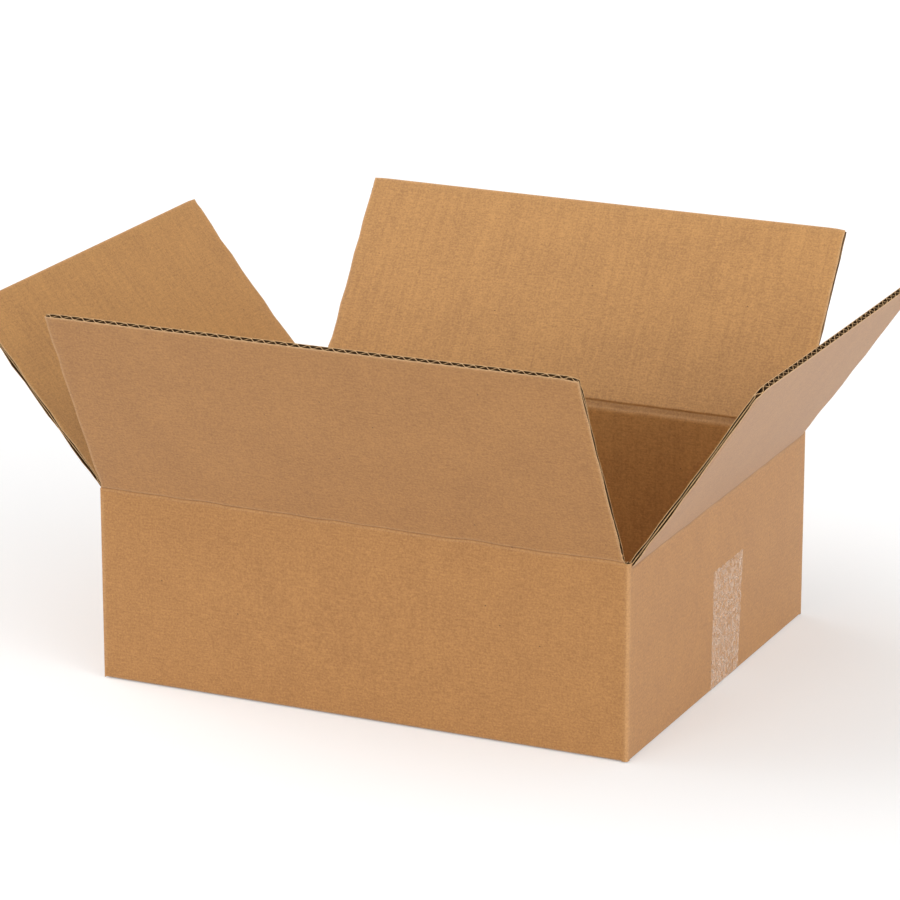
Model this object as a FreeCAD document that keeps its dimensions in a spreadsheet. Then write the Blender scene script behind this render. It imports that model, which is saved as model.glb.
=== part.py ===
import FreeCAD, Part
import os
import Sketcher

# An open shipping box of single-wall corrugated board, in millimetres and degrees.
# It stands on its closed bottom with its four top flaps leaning outwards.
# X runs along the long front and back panels, the front panel faces -Y and Z is up.
# The origin is the middle of the bottom, on the surface that the box stands on.
# The walls and the bottom flaps are one folded sheet. Each top flap is a piece of its own,
# so that it can turn on its crease, and one strip of tape holds the bottom flaps shut.

doc = FreeCAD.newDocument("OpenCardboardBox")

# Driving dimensions: one spreadsheet cell each, known by its alias
SIZES = {
    # The box
    "inside_length": 304.8,
    "inside_width": 254.0,
    "panel_height": 109.5,    # floor to the crease of a long panel
    "flap_length": 126.0,     # crease to free edge, all eight flaps
    "board": 3.0,             # thickness of the board
    "fold_radius": 2.0,       # outside of a folded edge
    "nest_gap": 0.3,          # air between two boards that lie one on the other
    # The creases of the top flaps
    "crease_inset": 0.35,     # depth of the turning line under the outer face
    "crease_gap": 0.15,       # air each side of the turning line
    "swing_angle": 150.0,     # furthest a flap folds outwards, from upright
    "slot_width": 6.4,        # slot between two neighbouring flaps
    "lap_setback": 1.0,       # front flap's edge at the glued corner, from the corner
    # How far each top flap leans outwards from upright
    "front_angle": 27.5,
    "back_angle": 38.0,
    "left_angle": 38.5,
    "right_angle": 33.5,
    # The closed bottom
    "lower_setback": 0.6,     # side edges of the outer bottom flaps, from the end panels' faces
    "seam_gap": 1.0,          # between the two outer bottom flaps
    # The glued lap at the front left corner
    "tab_length": 32.0,
    "tab_board": 1.8,         # crushed thickness of the tab
    "tab_slant": 8.0,         # how much the tab narrows at each end
    "lap_groove": 1.4,        # notch between the front panel's raw edge and the left panel
    # The flutes of the board
    "flute_pitch": 6.7,
    "flute_start": 0.25,      # part of a flute that the flap's side edge cuts off
    "flute_crest": 0.9,       # flat width of a flute's crest
    "liner": 0.4,
    "medium": 0.35,
    "crush_length": 8.0,      # stretch beside a crease where the flutes are pressed shut
    # The tape
    "tape_width": 43.0,
    "tape_offset": 9.5,       # middle of the tape from the middle of the box, to the back
    "tape_rise": 68.5,        # height of its ends on the end panels
    "tape_thickness": 0.2,
}

sheet = doc.addObject("Spreadsheet::Sheet", "Sizes")
for row, (alias, size) in enumerate(SIZES.items(), start=1):
    sheet.set(f"A{row}", str(size))
    sheet.setAlias(f"A{row}", alias)
doc.recompute()

# Lengths that follow from the sizes, as expressions
HALF_LENGTH = "(Sizes.inside_length / 2 + Sizes.board)"
HALF_WIDTH = "(Sizes.inside_width / 2 + Sizes.board)"
HALF_INSIDE_LENGTH = "(Sizes.inside_length / 2)"
HALF_INSIDE_WIDTH = "(Sizes.inside_width / 2)"
# The short panels' creases lie one board lower at the top, and higher at the bottom
STEP = "(Sizes.board + Sizes.nest_gap)"
LONG_CREASE = "Sizes.panel_height"
SHORT_CREASE = f"(Sizes.panel_height - {STEP})"
# A crease is a wedge: the inner side is mitred at 45 degrees, the outer side is relieved
MITRE = "(Sizes.board - Sizes.crease_inset)"
RELIEF = "(Sizes.crease_inset * tan(Sizes.swing_angle / 2))"
# Above both layers of bottom flaps and their folds the walls are straight
WALL_FOOT = f"({STEP} + Sizes.board + Sizes.fold_radius)"
# Room that a cut takes in the open air past the solid
CLEAR = "Sizes.board"


def new_body(name):
    """An empty body whose label names its piece."""
    body = doc.addObject("PartDesign::Body", name)
    body.Label = name
    return body


def origin_feature(body, role):
    """One of the body's own base planes or axes."""
    return next(f for f in body.Origin.OriginFeatures if f.Role == role)


def new_sketch(body, name, role, lift="0"):
    """A sketch on one of the body's base planes, lifted off it by an expression."""
    sketch = body.newObject("Sketcher::SketchObject", name)
    sketch.AttachmentSupport = [(origin_feature(body, role), "")]
    sketch.MapMode = "FlatFace"
    sketch.setExpression(".AttachmentOffset.Base.z", lift)
    return sketch


def value(expression):
    """The number that an expression has now."""
    result = sheet.evalExpression(expression.replace("Sizes.", ""))
    return float(getattr(result, "Value", result))


def fix(sketch, kind, geometry, end, expression):
    """Binds one coordinate of a line's or an arc's end to an expression."""
    constraint = Sketcher.Constraint(kind, -1, 1, geometry, end, value(expression))
    index = sketch.addConstraint(constraint)
    sketch.setExpression(f"Constraints[{index}]", expression)


def away(corner, other, radius):
    """The point on the side towards the other corner where a rounding of that radius starts."""
    here = [value(c) for c in corner[:2]]
    there = [value(c) for c in other[:2]]
    run = sum((b - a) ** 2 for a, b in zip(here, there)) ** 0.5
    return tuple(f"({c} + {(b - a) / run:.0f} * {radius})"
                 for c, a, b in zip(corner, here, there))


def outline(sketch, corners):
    """A closed outline through corners (x, y) or (x, y, radius), given as expressions.

    A radius rounds a square corner between two sides along the sketch's axes.
    """
    stops = []
    for i, corner in enumerate(corners):
        if len(corner) == 2:
            stops.append([corner])
            continue
        before, after = corners[i - 1], corners[(i + 1) % len(corners)]
        stops.append([away(corner, before, corner[2]), away(corner, after, corner[2])])
    vector = [[FreeCAD.Vector(value(x), value(y), 0) for x, y in stop] for stop in stops]
    joints = []
    for i, corner in enumerate(corners):
        following = (i + 1) % len(corners)
        if len(corner) == 3:
            first, last = vector[i]
            tip = FreeCAD.Vector(value(corner[0]), value(corner[1]), 0)
            centre = first + last - tip
            middle = centre + (tip - centre).normalize() * value(corner[2])
            arc = sketch.addGeometry(Part.Arc(first, middle, last), False)
            forward = sketch.getPoint(arc, 1).isEqual(first, 1e-6)
            joints.append((arc, 1, 2) if forward else (arc, 2, 1))
            index = sketch.addConstraint(Sketcher.Constraint("Radius", arc, value(corner[2])))
            sketch.setExpression(f"Constraints[{index}]", corner[2])
        side = Part.LineSegment(vector[i][-1], vector[following][0])
        line = sketch.addGeometry(side, False)
        joints.append((line, 1, 2))
        for kind, start in zip(("DistanceX", "DistanceY"), stops[i][-1]):
            fix(sketch, kind, line, 1, start)
        if len(stops[following]) == 2:
            for kind, end in zip(("DistanceX", "DistanceY"), stops[following][0]):
                fix(sketch, kind, line, 2, end)
    for (one, _, leaves), (other, enters, _) in zip(joints, joints[1:] + joints[:1]):
        sketch.addConstraint(Sketcher.Constraint("Coincident", one, leaves, other, enters))


def mirrored(corners):
    """The same outline on the other side of the sketch's upright axis."""
    return [(f"(-1 * {x})", *rest) for x, *rest in corners]


def extrude(body, kind, name, sketch, ahead, behind=None, against=False):
    """A Pad or Pocket of a sketch, ahead along its normal and, if given, behind it.

    Against turns the two round, for a feature that goes the other way from its sketch.
    """
    feature = body.newObject(f"PartDesign::{kind}", name)
    feature.Profile = sketch
    feature.Reversed = (kind == "Pocket") != against
    feature.setExpression("Length", ahead)
    if behind:
        feature.SideType = "Two sides"
        feature.setExpression("Length2", behind)
    doc.recompute()
    return feature


def above_crease(face, level, side):
    """Outline of all that lies above a panel's wedge-shaped top edge.

    The face is the panel's outer face and side says which way is out, 1 or -1.
    """
    top = f"({level} - Sizes.crease_gap)"
    relief = f"((Sizes.crease_inset + {CLEAR}) * tan(Sizes.swing_angle / 2))"
    wedge = [
        (f"({face} + {CLEAR})", f"({top} - {relief})"),
        (f"({face} - Sizes.crease_inset)", top),
        (f"({face} - Sizes.board)", f"({top} - {MITRE})"),
        (f"({face} - Sizes.board)", f"({top} + {CLEAR})"),
        (f"({face} + {CLEAR})", f"({top} + {CLEAR})"),
    ]
    return wedge if side > 0 else mirrored(wedge)


def make_shell():
    """Four walls, their glued lap and the four bottom flaps: one folded sheet."""
    body = new_body("box_shell")

    # Walls: the front panel's raw left edge laps over the left panel, the other corners are folds
    walls = new_sketch(body, "walls_plan", "XY_Plane", WALL_FOOT)
    groove = f"(-1 * {HALF_LENGTH} + Sizes.lap_groove)"
    outline(walls, [
        (f"(-1 * {HALF_LENGTH})", f"(-1 * {HALF_WIDTH})"),
        (HALF_LENGTH, f"(-1 * {HALF_WIDTH})", "Sizes.fold_radius"),
        (HALF_LENGTH, HALF_WIDTH, "Sizes.fold_radius"),
        (f"(-1 * {HALF_LENGTH})", HALF_WIDTH, "Sizes.fold_radius"),
        (f"(-1 * {HALF_LENGTH})", f"(-1 * {HALF_INSIDE_WIDTH} + Sizes.fold_radius)"),
        (groove, f"(-1 * {HALF_INSIDE_WIDTH})"),
        (f"(-1 * {HALF_LENGTH})", f"(-1 * {HALF_INSIDE_WIDTH})"),
    ])
    outline(walls, [
        (f"(-1 * {HALF_INSIDE_LENGTH})", f"(-1 * {HALF_INSIDE_WIDTH})"),
        (HALF_INSIDE_LENGTH, f"(-1 * {HALF_INSIDE_WIDTH})"),
        (HALF_INSIDE_LENGTH, HALF_INSIDE_WIDTH),
        (f"(-1 * {HALF_INSIDE_LENGTH})", HALF_INSIDE_WIDTH),
    ])
    extrude(body, "Pad", "walls", walls, f"({LONG_CREASE} - Sizes.crease_gap - {WALL_FOOT})")

    # Outer bottom flaps: each long panel folds under the box and stops at the seam
    outer = new_sketch(body, "outer_bottom_section", "YZ_Plane")
    back_section = [
        (HALF_WIDTH, WALL_FOOT),
        (HALF_WIDTH, "0", "Sizes.fold_radius"),
        ("(Sizes.seam_gap / 2)", "0"),
        ("(Sizes.seam_gap / 2)", "Sizes.board"),
        (HALF_INSIDE_WIDTH, "Sizes.board"),
        (HALF_INSIDE_WIDTH, WALL_FOOT),
    ]
    outline(outer, back_section)
    outline(outer, mirrored(back_section))
    reach = f"({HALF_LENGTH} - Sizes.lower_setback)"
    extrude(body, "Pad", "outer_bottom_flaps", outer, reach, reach)

    # Inner bottom flaps: each end panel folds in above them
    inner = new_sketch(body, "inner_bottom_section", "XZ_Plane")
    free_edge = f"({HALF_LENGTH} - Sizes.flap_length)"
    right_section = [
        (HALF_LENGTH, WALL_FOOT),
        (HALF_LENGTH, STEP, "Sizes.fold_radius"),
        (free_edge, STEP),
        (free_edge, f"({STEP} + Sizes.board)"),
        (HALF_INSIDE_LENGTH, f"({STEP} + Sizes.board)"),
        (HALF_INSIDE_LENGTH, WALL_FOOT),
    ]
    outline(inner, right_section)
    outline(inner, mirrored(right_section))
    reach = f"({HALF_INSIDE_WIDTH} - Sizes.nest_gap)"
    extrude(body, "Pad", "inner_bottom_flaps", inner, reach, reach)

    # Glue tab: the left panel goes on past the corner, inside the front panel
    tab = new_sketch(body, "glue_tab_outline", "XZ_Plane", HALF_INSIDE_WIDTH)
    root = f"(-1 * {HALF_INSIDE_LENGTH})"
    tip = f"(-1 * {HALF_INSIDE_LENGTH} + Sizes.tab_length)"
    low = f"(2 * {STEP})"
    high = f"({SHORT_CREASE} - {STEP})"
    outline(tab, [
        (root, low),
        (tip, f"({low} + Sizes.tab_slant)"),
        (tip, f"({high} - Sizes.tab_slant)"),
        (root, high),
    ])
    extrude(body, "Pad", "glue_tab", tab, "Sizes.tab_board", against=True)

    # The end panels are lower than the long ones, so that their flaps close first
    ends = new_sketch(body, "end_panel_tops", "YZ_Plane")
    outline(ends, [
        (f"(-1 * {HALF_INSIDE_WIDTH})", f"({SHORT_CREASE} - Sizes.crease_gap)"),
        (HALF_INSIDE_WIDTH, f"({SHORT_CREASE} - Sizes.crease_gap)"),
        (HALF_INSIDE_WIDTH, f"({LONG_CREASE} + {CLEAR})"),
        (f"(-1 * {HALF_INSIDE_WIDTH})", f"({LONG_CREASE} + {CLEAR})"),
    ])
    past_end = f"({HALF_LENGTH} + {CLEAR})"
    extrude(body, "Pocket", "lower_ends", ends, past_end, past_end)

    # Creases: every panel's top edge comes to a wedge under its flap's turning line
    front = new_sketch(body, "front_crease_section", "YZ_Plane")
    outline(front, above_crease(HALF_WIDTH, LONG_CREASE, -1))
    extrude(body, "Pocket", "front_crease", front, HALF_INSIDE_LENGTH, past_end)
    back = new_sketch(body, "back_crease_section", "YZ_Plane")
    outline(back, above_crease(HALF_WIDTH, LONG_CREASE, 1))
    extrude(body, "Pocket", "back_crease", back, HALF_INSIDE_LENGTH, HALF_INSIDE_LENGTH)
    end_creases = new_sketch(body, "end_crease_sections", "XZ_Plane")
    for side in (-1, 1):
        outline(end_creases, above_crease(HALF_LENGTH, SHORT_CREASE, side))
    extrude(body, "Pocket", "end_creases", end_creases, HALF_INSIDE_WIDTH, HALF_INSIDE_WIDTH)

    # The tape lies pressed into the outer bottom flaps, flush with them
    bed = new_sketch(body, "tape_bed_section", "YZ_Plane")
    outline(bed, [
        ("(Sizes.tape_offset - Sizes.tape_width / 2)", "0"),
        ("(Sizes.tape_offset + Sizes.tape_width / 2)", "0"),
        ("(Sizes.tape_offset + Sizes.tape_width / 2)", "Sizes.tape_thickness"),
        ("(Sizes.tape_offset - Sizes.tape_width / 2)", "Sizes.tape_thickness"),
    ])
    extrude(body, "Pocket", "tape_bed", bed, past_end, past_end)
    return body


def make_flap(name, to_left, to_right, face, level, turn, lean):
    """One top flap: a fluted board that turns on the crease at the panel's top edge.

    Its own frame has the turning line along X, the box's inside at +Y and the free edge at +Z.
    to_left and to_right are its side edges, face and level place the turning line on a panel,
    turn points the panel outwards and lean names the angle that the flap leans out by.
    """
    body = new_body(name)

    # Board: the foot is the panel's wedge mirrored in the turning line
    section = new_sketch(body, f"{name}_section", "YZ_Plane")
    outline(section, [
        ("0", "Sizes.crease_gap"),
        (MITRE, f"({MITRE} + Sizes.crease_gap)"),
        (MITRE, "Sizes.flap_length"),
        ("(-1 * Sizes.crease_inset)", "Sizes.flap_length"),
        ("(-1 * Sizes.crease_inset)", f"({RELIEF} + Sizes.crease_gap)"),
    ])
    extrude(body, "Pad", f"{name}_board", section, to_right, to_left)

    # Flutes: one channel on each side of the wavy medium, open at the free edge
    channels = new_sketch(body, f"{name}_flute_section", "XY_Plane", "Sizes.flap_length")
    start = f"(-1 * {to_left} - Sizes.flute_start * Sizes.flute_pitch)"
    crest = "Sizes.flute_crest / 2"
    foot = "(Sizes.flute_pitch / 2 - Sizes.flute_crest / 2 - Sizes.medium / 3)"
    outer_base = "(Sizes.liner - Sizes.crease_inset)"
    inner_base = f"({MITRE} - Sizes.liner)"
    for quarter, base, top in (
        (1, outer_base, f"({inner_base} - Sizes.medium)"),
        (3, inner_base, f"({outer_base} + Sizes.medium)"),
    ):
        middle = f"({start} + Sizes.flute_pitch * {quarter} / 4)"
        outline(channels, [
            (f"({middle} - {foot})", base),
            (f"({middle} + {foot})", base),
            (f"({middle} + {crest})", top),
            (f"({middle} - {crest})", top),
        ])
    depth = "(Sizes.flap_length - Sizes.crush_length)"
    pocket = extrude(body, "Pocket", f"{name}_flute", channels, depth, against=True)

    row = body.newObject("PartDesign::LinearPattern", f"{name}_flutes")
    row.Originals = [pocket]
    row.Direction = (origin_feature(body, "X_Axis"), [""])
    row.Mode = "Spacing"
    row.setExpression("Offset", "Sizes.flute_pitch")
    width = f"({to_left} + {to_right})"
    row.setExpression("Occurrences", f"ceil({width} / Sizes.flute_pitch + Sizes.flute_start)")
    body.Tip = row

    # The panel's outer face lies at -Y before the turn, as on the front panel
    depth_in = f"({face} - Sizes.crease_inset)"
    body.setExpression(
        "Placement",
        f"placement(vector(sin({turn}) * {depth_in}; -1 * cos({turn}) * {depth_in}; {level});"
        f" rotation({turn}; 0; Sizes.{lean}))",
    )
    return body


def make_tape():
    """One strip of tape along the bottom seam, with an end up each end panel."""
    body = new_body("bottom_tape")
    section = new_sketch(body, "tape_section", "XZ_Plane", "(-1 * Sizes.tape_offset)")
    skin = f"({HALF_LENGTH} + Sizes.tape_thickness)"
    bend = "Sizes.lower_setback"
    outline(section, [
        (skin, "Sizes.tape_rise"),
        (skin, "0", f"({bend} + Sizes.tape_thickness)"),
        (f"(-1 * {skin})", "0", f"({bend} + Sizes.tape_thickness)"),
        (f"(-1 * {skin})", "Sizes.tape_rise"),
        (f"(-1 * {HALF_LENGTH})", "Sizes.tape_rise"),
        (f"(-1 * {HALF_LENGTH})", "Sizes.tape_thickness", bend),
        (HALF_LENGTH, "Sizes.tape_thickness", bend),
        (HALF_LENGTH, "Sizes.tape_rise"),
    ])
    half = "(Sizes.tape_width / 2)"
    extrude(body, "Pad", "tape_strip", section, half, half)
    return body


SLOT = "Sizes.slot_width / 2"
LONG_REACH = f"({HALF_LENGTH} - {SLOT})"
SHORT_REACH = f"({HALF_WIDTH} - {SLOT})"
LAP_REACH = f"({HALF_LENGTH} - Sizes.lap_setback)"

pieces = [
    make_shell(),
    make_flap("front_flap", LAP_REACH, LONG_REACH, HALF_WIDTH, LONG_CREASE, 0, "front_angle"),
    make_flap("right_flap", SHORT_REACH, SHORT_REACH, HALF_LENGTH, SHORT_CREASE, 90, "right_angle"),
    make_flap("back_flap", LONG_REACH, LONG_REACH, HALF_WIDTH, LONG_CREASE, 180, "back_angle"),
    make_flap("left_flap", SHORT_REACH, SHORT_REACH, HALF_LENGTH, SHORT_CREASE, 270, "left_angle"),
    make_tape(),
]
doc.recompute()

# Nothing is written unless every feature was made and every piece is one sound solid
faults = [f"{part.Name}: {part.State}" for part in doc.Objects
          if {"Invalid", "Error"} & set(part.State)]
for piece in pieces:
    if piece.Shape.isNull() or not piece.Shape.isValid() or len(piece.Shape.Solids) != 1:
        faults.append(f"{piece.Label}: not one sound solid")
if faults:
    raise RuntimeError("; ".join(faults))

os.makedirs("parts", exist_ok=True)
for piece in pieces:
    piece.Shape.exportStep(os.path.join("parts", f"{piece.Label}.step"))
    print(f"{piece.Label}: {piece.Shape.Volume:.0f} mm3")
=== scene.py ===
import math

import bpy
import numpy as np
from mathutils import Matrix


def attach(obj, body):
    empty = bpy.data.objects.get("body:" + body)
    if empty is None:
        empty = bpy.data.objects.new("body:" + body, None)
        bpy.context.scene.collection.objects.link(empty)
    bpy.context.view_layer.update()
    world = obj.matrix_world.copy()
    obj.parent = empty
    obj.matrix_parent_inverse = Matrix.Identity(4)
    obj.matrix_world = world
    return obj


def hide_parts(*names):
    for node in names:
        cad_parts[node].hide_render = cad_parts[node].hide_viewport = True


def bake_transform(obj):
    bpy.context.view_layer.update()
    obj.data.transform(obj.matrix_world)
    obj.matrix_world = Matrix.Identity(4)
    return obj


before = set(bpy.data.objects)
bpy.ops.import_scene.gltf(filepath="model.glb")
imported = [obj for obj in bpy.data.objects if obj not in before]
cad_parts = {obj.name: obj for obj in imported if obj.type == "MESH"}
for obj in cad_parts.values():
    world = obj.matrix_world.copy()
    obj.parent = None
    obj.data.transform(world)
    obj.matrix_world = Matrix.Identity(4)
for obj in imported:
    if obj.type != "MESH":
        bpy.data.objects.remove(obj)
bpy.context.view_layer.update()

# An open shipping box of single-wall corrugated board, standing with its four top flaps open.
# Every length is in millimetres until a mesh is made, and the frame's axes are the part's own:
# X runs along the long panels, the front panel faces -Y, Z is up and the bottom lies at Z = 0.

MM = 0.001

# The board, which is B flute
BOARD = 3.0              # thickness
LINER = 0.30             # thickness of each flat facing
MEDIUM = 0.32            # thickness of the wavy paper between them; real 0.2, drawn so that it shows
FLUTE_PITCH = 6.7
WASHBOARD = 0.022        # how far a facing sinks between two flutes
STEPS_PER_FLUTE = 4      # mesh columns of a facing for each flute
WAVES_PER_FLUTE = 8      # mesh columns of the wavy paper for each flute

# The box, outside, as the CAD part has it
HALF_LENGTH = 155.4
HALF_WIDTH = 130.0
FOLD_RADIUS = 1.8        # outside of the upright folds
INNER_RADIUS = 0.6       # their inside
LAP_RADIUS = 1.0         # outside of the fold at the glued corner
NO_RADIUS = 0.02         # its inside, which is all but sharp
PIVOT_DEPTH = 0.35       # how far under the outer face a flap turns
FLAP_LENGTH = 126.0      # crease to free edge
SEAM_DROP = 4.0          # how far below its crease a top flap's sheet starts
SLOT_FOOT = 109.2        # height of the bottom of the slots between the top flaps
COLUMN_FOOT = 0.35       # height of the slots' ends at the bottom

# A crease: the board is rolled thin along a line, and folds there
FOLD_HALF = 0.9          # half of the stretch that bends
PRESS_DEPTH = 1.0        # how deep the score is on the inside
PRESS_HALF = 1.15
PRESS_SHOULDER = 1.2     # width of its slope on the flap's side
LOW_SHOULDER = 2.5       # and of its slope on the wall's side
SOFT_PRESS = 0.35        # wider hollow beside the score
SOFT_PRESS_REACH = 5.0
FOLD_LINE_DEPTH = 0.30   # the thin line on the outside
LINE_WOBBLE = 0.35       # how far that line strays to each side
LINE_WAVE = 40.0         # and over what length

# What the knife did to the side edges of the flaps
SQUEEZE = 0.45           # how far it pressed the facings together
SQUEEZE_MOST = 0.75
SQUEEZE_REACH = 2.4      # in from the edge
SQUEEZE_WAVE = 17.0      # length over which it changes along the edge
RAGGED_OUTER = 0.45      # how uneven each of the three papers was cut
RAGGED_INNER = 0.6
RAGGED_MEDIUM = 1.3
RAGGED_WAVES = (22.0, 7.0)
BLUNT_REACH = 5.0        # how far along the free edge a corner is knocked back
INSET_STEP = 2.5         # the side edge steps in over this height above the crease
EDGE_WEAR = 0.8          # share of pale torn fibre at a cut edge
WEAR_REACH = 0.8


# The four sides. A side is drawn in its own directions: "a" along the crease, anticlockwise
# seen from above, "out" away from the box, and up. Pairs are for the low and the high end of the
# crease. Lean and twist are in degrees from upright. In millimetres, fan is how far the side edges
# spread towards the free corners, trim is what a free corner has more or less than the length,
# blunt how much it has been knocked back, inset how much wider than the others the slot beside
# that end was cut, and rise how far the board folds above the scored line there. Bow is across
# the flap and along it. Line is the share of its depth and the reach of the thin line outside the
# crease.
SIDES = {
    "front": dict(along=(1, 0), out=(0, -1), face=HALF_WIDTH, crease=109.5, low=-154.4, high=152.2,
                  lean=27.5, twist=(0.5, -0.5), fan=(-1.0, -2.2), trim=(-0.3, 0.4), bow=(0.4, 0.3),
                  line=(1.0, 0.45), blunt=(0.4, 1.3), inset=(0.0, 0.0), rise=(0.0, 0.0), seed=3),
    "right": dict(along=(0, 1), out=(1, 0), face=HALF_LENGTH, crease=106.2, low=-126.8, high=126.8,
                  lean=33.5, twist=(0.4, 1.3), fan=(0.1, 0.1), trim=(-2.6, -1.4), bow=(0.5, 0.3),
                  line=(1.1, 1.0), blunt=(4.5, 0.5), inset=(0.0, 5.5), rise=(0.2, 2.2), seed=5),
    "back": dict(along=(-1, 0), out=(0, 1), face=HALF_WIDTH, crease=109.5, low=-152.2, high=152.2,
                 lean=38.0, twist=(0.6, 1.2), fan=(-3.0, -0.7), trim=(-1.85, -0.9), bow=(-0.5, 0.4),
                 line=(0.8, 0.5), blunt=(0.5, 0.3), inset=(0.0, 4.4), rise=(0.0, 0.0), seed=7),
    "left": dict(along=(0, -1), out=(-1, 0), face=HALF_LENGTH, crease=106.2, low=-126.8, high=126.4,
                 lean=38.5, twist=(0.5, 1.8), fan=(0.0, 0.2), trim=(-1.4, -1.6), bow=(0.6, 0.3),
                 line=(0.6, 0.8), blunt=(0.5, 0.5), inset=(0.0, 0.0), rise=(0.0, 0.0), seed=9),
}


# Small helpers for shapes

def smooth(x):
    """Zero below 0, one above 1 and a smooth step between them."""
    x = np.clip(x, 0.0, 1.0)
    return x * x * (3.0 - 2.0 * x)


def bell(x, reach):
    """One at x = 0, falling off over the reach to either side."""
    return np.exp(-np.square(x / reach))


def ripple(x, wave, seed, count=5):
    """A smooth wobble between about -1 and 1: a sum of sines whose lengths lie round the wave
    length, with phases from a seeded draw."""
    draw = np.random.RandomState(seed)
    total = np.zeros_like(np.asarray(x, float))
    for part in range(count):
        length = wave * (0.55 + 0.35 * part + 0.2 * draw.rand())
        total = total + np.sin(2.0 * math.pi * (x / length + draw.rand()))
    return total / math.sqrt(count)


def even(low, high, count):
    """That many evenly spaced places from low to high."""
    return np.linspace(low, high, int(count))


def flute_count(side):
    """Whole flutes between a side's two slots."""
    return round((side["high"] - side["low"]) / FLUTE_PITCH)


def flute_phase(side, a):
    """Angle along the flutes: whole turns at both side edges, where the knife cut them."""
    return 2.0 * math.pi * flute_count(side) * (a - side["low"]) / (side["high"] - side["low"])


def between(pair, share):
    """A value that runs from the first of a pair at share 0 to the second at share 1."""
    return pair[0] * (1 - share) + pair[1] * share


def place(side, a, out, up):
    """Points of a side's own directions, in the box's frame."""
    (ax, ay), (ox, oy) = side["along"], side["out"]
    return np.stack(np.broadcast_arrays(ax * a + ox * out, ay * a + oy * out, up), axis=-1)


# Meshes: every sheet is a plate between two grids of points

class Sheets:
    """Gathers plates into one mesh. A plate lies between an outer and an under grid of points of
    one shape, and four strips close its rim. Each of its three kinds of face has a material."""

    def __init__(self):
        self.points, self.faces, self.finish, self.round = [], [], [], []
        self.maps, self.wear, self.press, self.count = [], [], [], 0

    def plate(self, outer, under, flat, finishes, wear=0.0, press=0.0):
        """flat is the grid of places on the unfolded sheet. finishes are those of the outer
        face, the under face and the cut rim. The last two are shares from 0 to 1: the first pales the
        paper, as real wear at cut edges and as a painted highlight on folds and beside creases, and the
        second darkens it, as painted shade in creases and inside corners."""
        rows, columns = outer.shape[:2]
        number = np.arange(rows * columns).reshape(rows, columns) + self.count
        other = number + rows * columns

        def strip(p, q, r, s):
            return np.stack([g.ravel() for g in (p, q, r, s)], axis=1)

        groups = [
            strip(number[:-1, :-1], number[1:, :-1], number[1:, 1:], number[:-1, 1:]),
            strip(other[:-1, :-1], other[:-1, 1:], other[1:, 1:], other[1:, :-1]),
            strip(number[1:, 0], number[:-1, 0], other[:-1, 0], other[1:, 0]),
            strip(number[:-1, -1], number[1:, -1], other[1:, -1], other[:-1, -1]),
            strip(number[0, :-1], number[0, 1:], other[0, 1:], other[0, :-1]),
            strip(number[-1, 1:], number[-1, :-1], other[-1, :-1], other[-1, 1:]),
        ]
        for group, kind in zip(groups, (0, 1, 2, 2, 2, 2)):
            self.faces.append(group)
            self.finish.append(np.full(len(group), finishes[kind]))
            self.round.append(np.full(len(group), kind < 2))
        for grid in (outer, under):
            self.points.append(grid.reshape(-1, 3))
            self.maps.append(np.broadcast_to(flat, (rows, columns, 2)).reshape(-1, 2))
            self.wear.append(np.broadcast_to(wear, (rows, columns)).ravel())
            self.press.append(np.broadcast_to(press, (rows, columns)).ravel())
        self.count += 2 * rows * columns

    def make(self, name, materials):
        """The gathered plates as one object, with the flat sheet as its UV map, in metres."""
        mesh = bpy.data.meshes.new(name)
        faces = np.concatenate(self.faces)
        mesh.from_pydata((np.concatenate(self.points) * MM).tolist(), [], faces.tolist())
        mesh.polygons.foreach_set("material_index", np.concatenate(self.finish).astype(np.int32))
        smooth_faces = np.concatenate(self.round)
        mesh.polygons.foreach_set("use_smooth", smooth_faces)
        # The edges round every flat rim face are marked sharp, so that the rim doesn't tint the
        # shading of the paper's faces
        edges = np.zeros(len(mesh.loops), np.int32)
        mesh.loops.foreach_get("edge_index", edges)
        sharp = np.zeros(len(mesh.edges), bool)
        sharp[edges.reshape(-1, 4)[~smooth_faces]] = True
        mesh.attributes.new("sharp_edge", "BOOLEAN", "EDGE").data.foreach_set("value", sharp)
        flat = mesh.uv_layers.new(name="sheet")
        flat.data.foreach_set("uv", (np.concatenate(self.maps) * MM)[faces.ravel()].ravel())
        for label, parts in (("wear", self.wear), ("press", self.press)):
            attribute = mesh.attributes.new(label, "FLOAT", "POINT")
            attribute.data.foreach_set("value", np.concatenate(parts).astype(np.float32))
        for material in materials:
            mesh.materials.append(material)
        mesh.update()
        piece = bpy.data.objects.new(name, mesh)
        bpy.context.scene.collection.objects.link(piece)
        return piece


OUTER, INNER, CORE, EDGE = range(4)      # places in a board's list of materials


# Top flaps

def fold_line(lean):
    """The outer face's line across a crease, seen along it: upright below, leaning above, and
    turning over FOLD_HALF to each side. Returns a function of the distance along the sheet that
    gives the place out and up from the pivot, and the local lean."""
    far = FLAP_LENGTH + 10.0
    along = np.arange(-SEAM_DROP - 4.0, far, 0.05)
    turn = lean * smooth((along / FOLD_HALF + 1.0) / 2.0)
    out = np.concatenate([[0.0], np.cumsum(np.diff(along) * np.sin((turn[1:] + turn[:-1]) / 2))])
    up = np.concatenate([[0.0], np.cumsum(np.diff(along) * np.cos((turn[1:] + turn[:-1]) / 2))])
    # Both straight parts meet where the outer faces of the wall and of the flap meet
    meet_up = up[-1] - out[-1] / math.tan(lean)
    out = out + PIVOT_DEPTH
    up = up - meet_up - PIVOT_DEPTH * math.tan(lean / 2)
    # On the wall, the distance below the crease is the height below the pivot
    shift = along[0] - up[0]

    def at(distance):
        spot = distance + shift
        return (np.interp(spot, along, out), np.interp(spot, along, up),
                lean * smooth((spot / FOLD_HALF + 1.0) / 2.0))
    return at


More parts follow.
